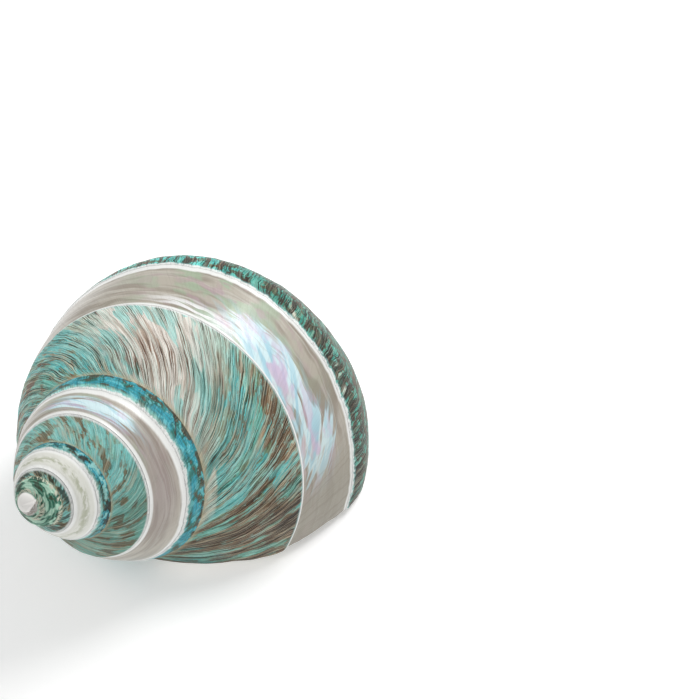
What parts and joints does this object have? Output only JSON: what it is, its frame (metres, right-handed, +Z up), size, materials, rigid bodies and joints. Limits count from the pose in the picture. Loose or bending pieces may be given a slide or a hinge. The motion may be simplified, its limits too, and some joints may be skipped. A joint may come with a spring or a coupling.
{
  "type": "turban shell",
  "caption": "Polished turban shell, teal green over a worn pearly spiral band, coiled to a blunt apex and open at a wide round mouth.",
  "frame": {"origin": "middle of the shell's outline seen from above, at the height of the table it lies on", "axes": "+Z up from the table the shell lies on, mouth down; +X the longest way across the last whorl, away from the apex side; +Y across, towards the far side of the last whorl"},
  "size_m": [0.0536, 0.0484, 0.037],
  "materials": {
    "polished_shell": "polished"
  },
  "bodies": {
    "root": {"shell": "polished_shell"}
  },
  "joints": []
}
